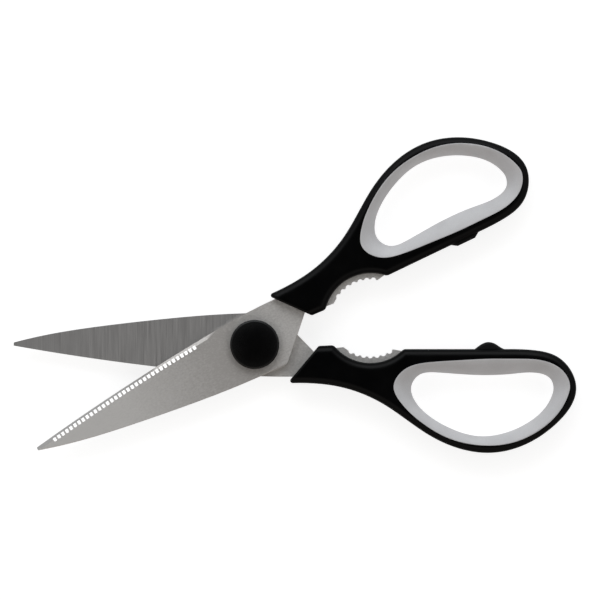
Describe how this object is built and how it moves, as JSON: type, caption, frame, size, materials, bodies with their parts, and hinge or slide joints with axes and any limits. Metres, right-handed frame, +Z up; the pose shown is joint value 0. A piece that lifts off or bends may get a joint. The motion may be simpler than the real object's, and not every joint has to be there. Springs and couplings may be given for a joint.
{
  "type": "poultry shears",
  "caption": "Straight poultry shears with closed finger loops lined in soft grip, a toothed bottle jaw between the handles and a serrated upper blade.",
  "frame": {"origin": "on the pivot axis, in the flat bottom of the lower pivot cap, which is the surface that the shears lie on", "axes": "+X runs from the blade tips to the handles along the lower half's closing line, +Y to the upper half's side, +Z up off the surface, along the pivot"},
  "size_m": [0.2286, 0.1283, 0.0132],
  "materials": {
    "blade_steel": "fine ground stainless steel, satin",
    "handle_plastic": "black satin moulded plastic",
    "liner_grip": "light grey soft grip, satin",
    "black_rubber": "black rubber",
    "pivot_steel": "turned steel",
    "washer_nylon": "natural nylon",
    "cap_plastic": "black satin plastic"
  },
  "bodies": {
    "lower_half": {"blade_lower": "blade_steel", "handle_lower": "handle_plastic", "liner_lower": "liner_grip", "bumper": "black_rubber", "pivot_screw": "pivot_steel", "pivot_nut": "pivot_steel", "disc_spring": "pivot_steel", "thrust_washer": "washer_nylon", "pivot_cap_upper": "cap_plastic", "pivot_cap_lower": "cap_plastic"},
    "upper_half": {"blade_upper": "blade_steel", "handle_upper": "handle_plastic", "liner_upper": "liner_grip", "striker_pad": "black_rubber"}
  },
  "joints": [
    {"name": "pivot", "type": "hinge", "parent": "lower_half", "child": "upper_half", "pos_m": [0, 0, 0.00625], "axis": [0, 0, 1], "range_deg": [-25, 64]}
  ]
}
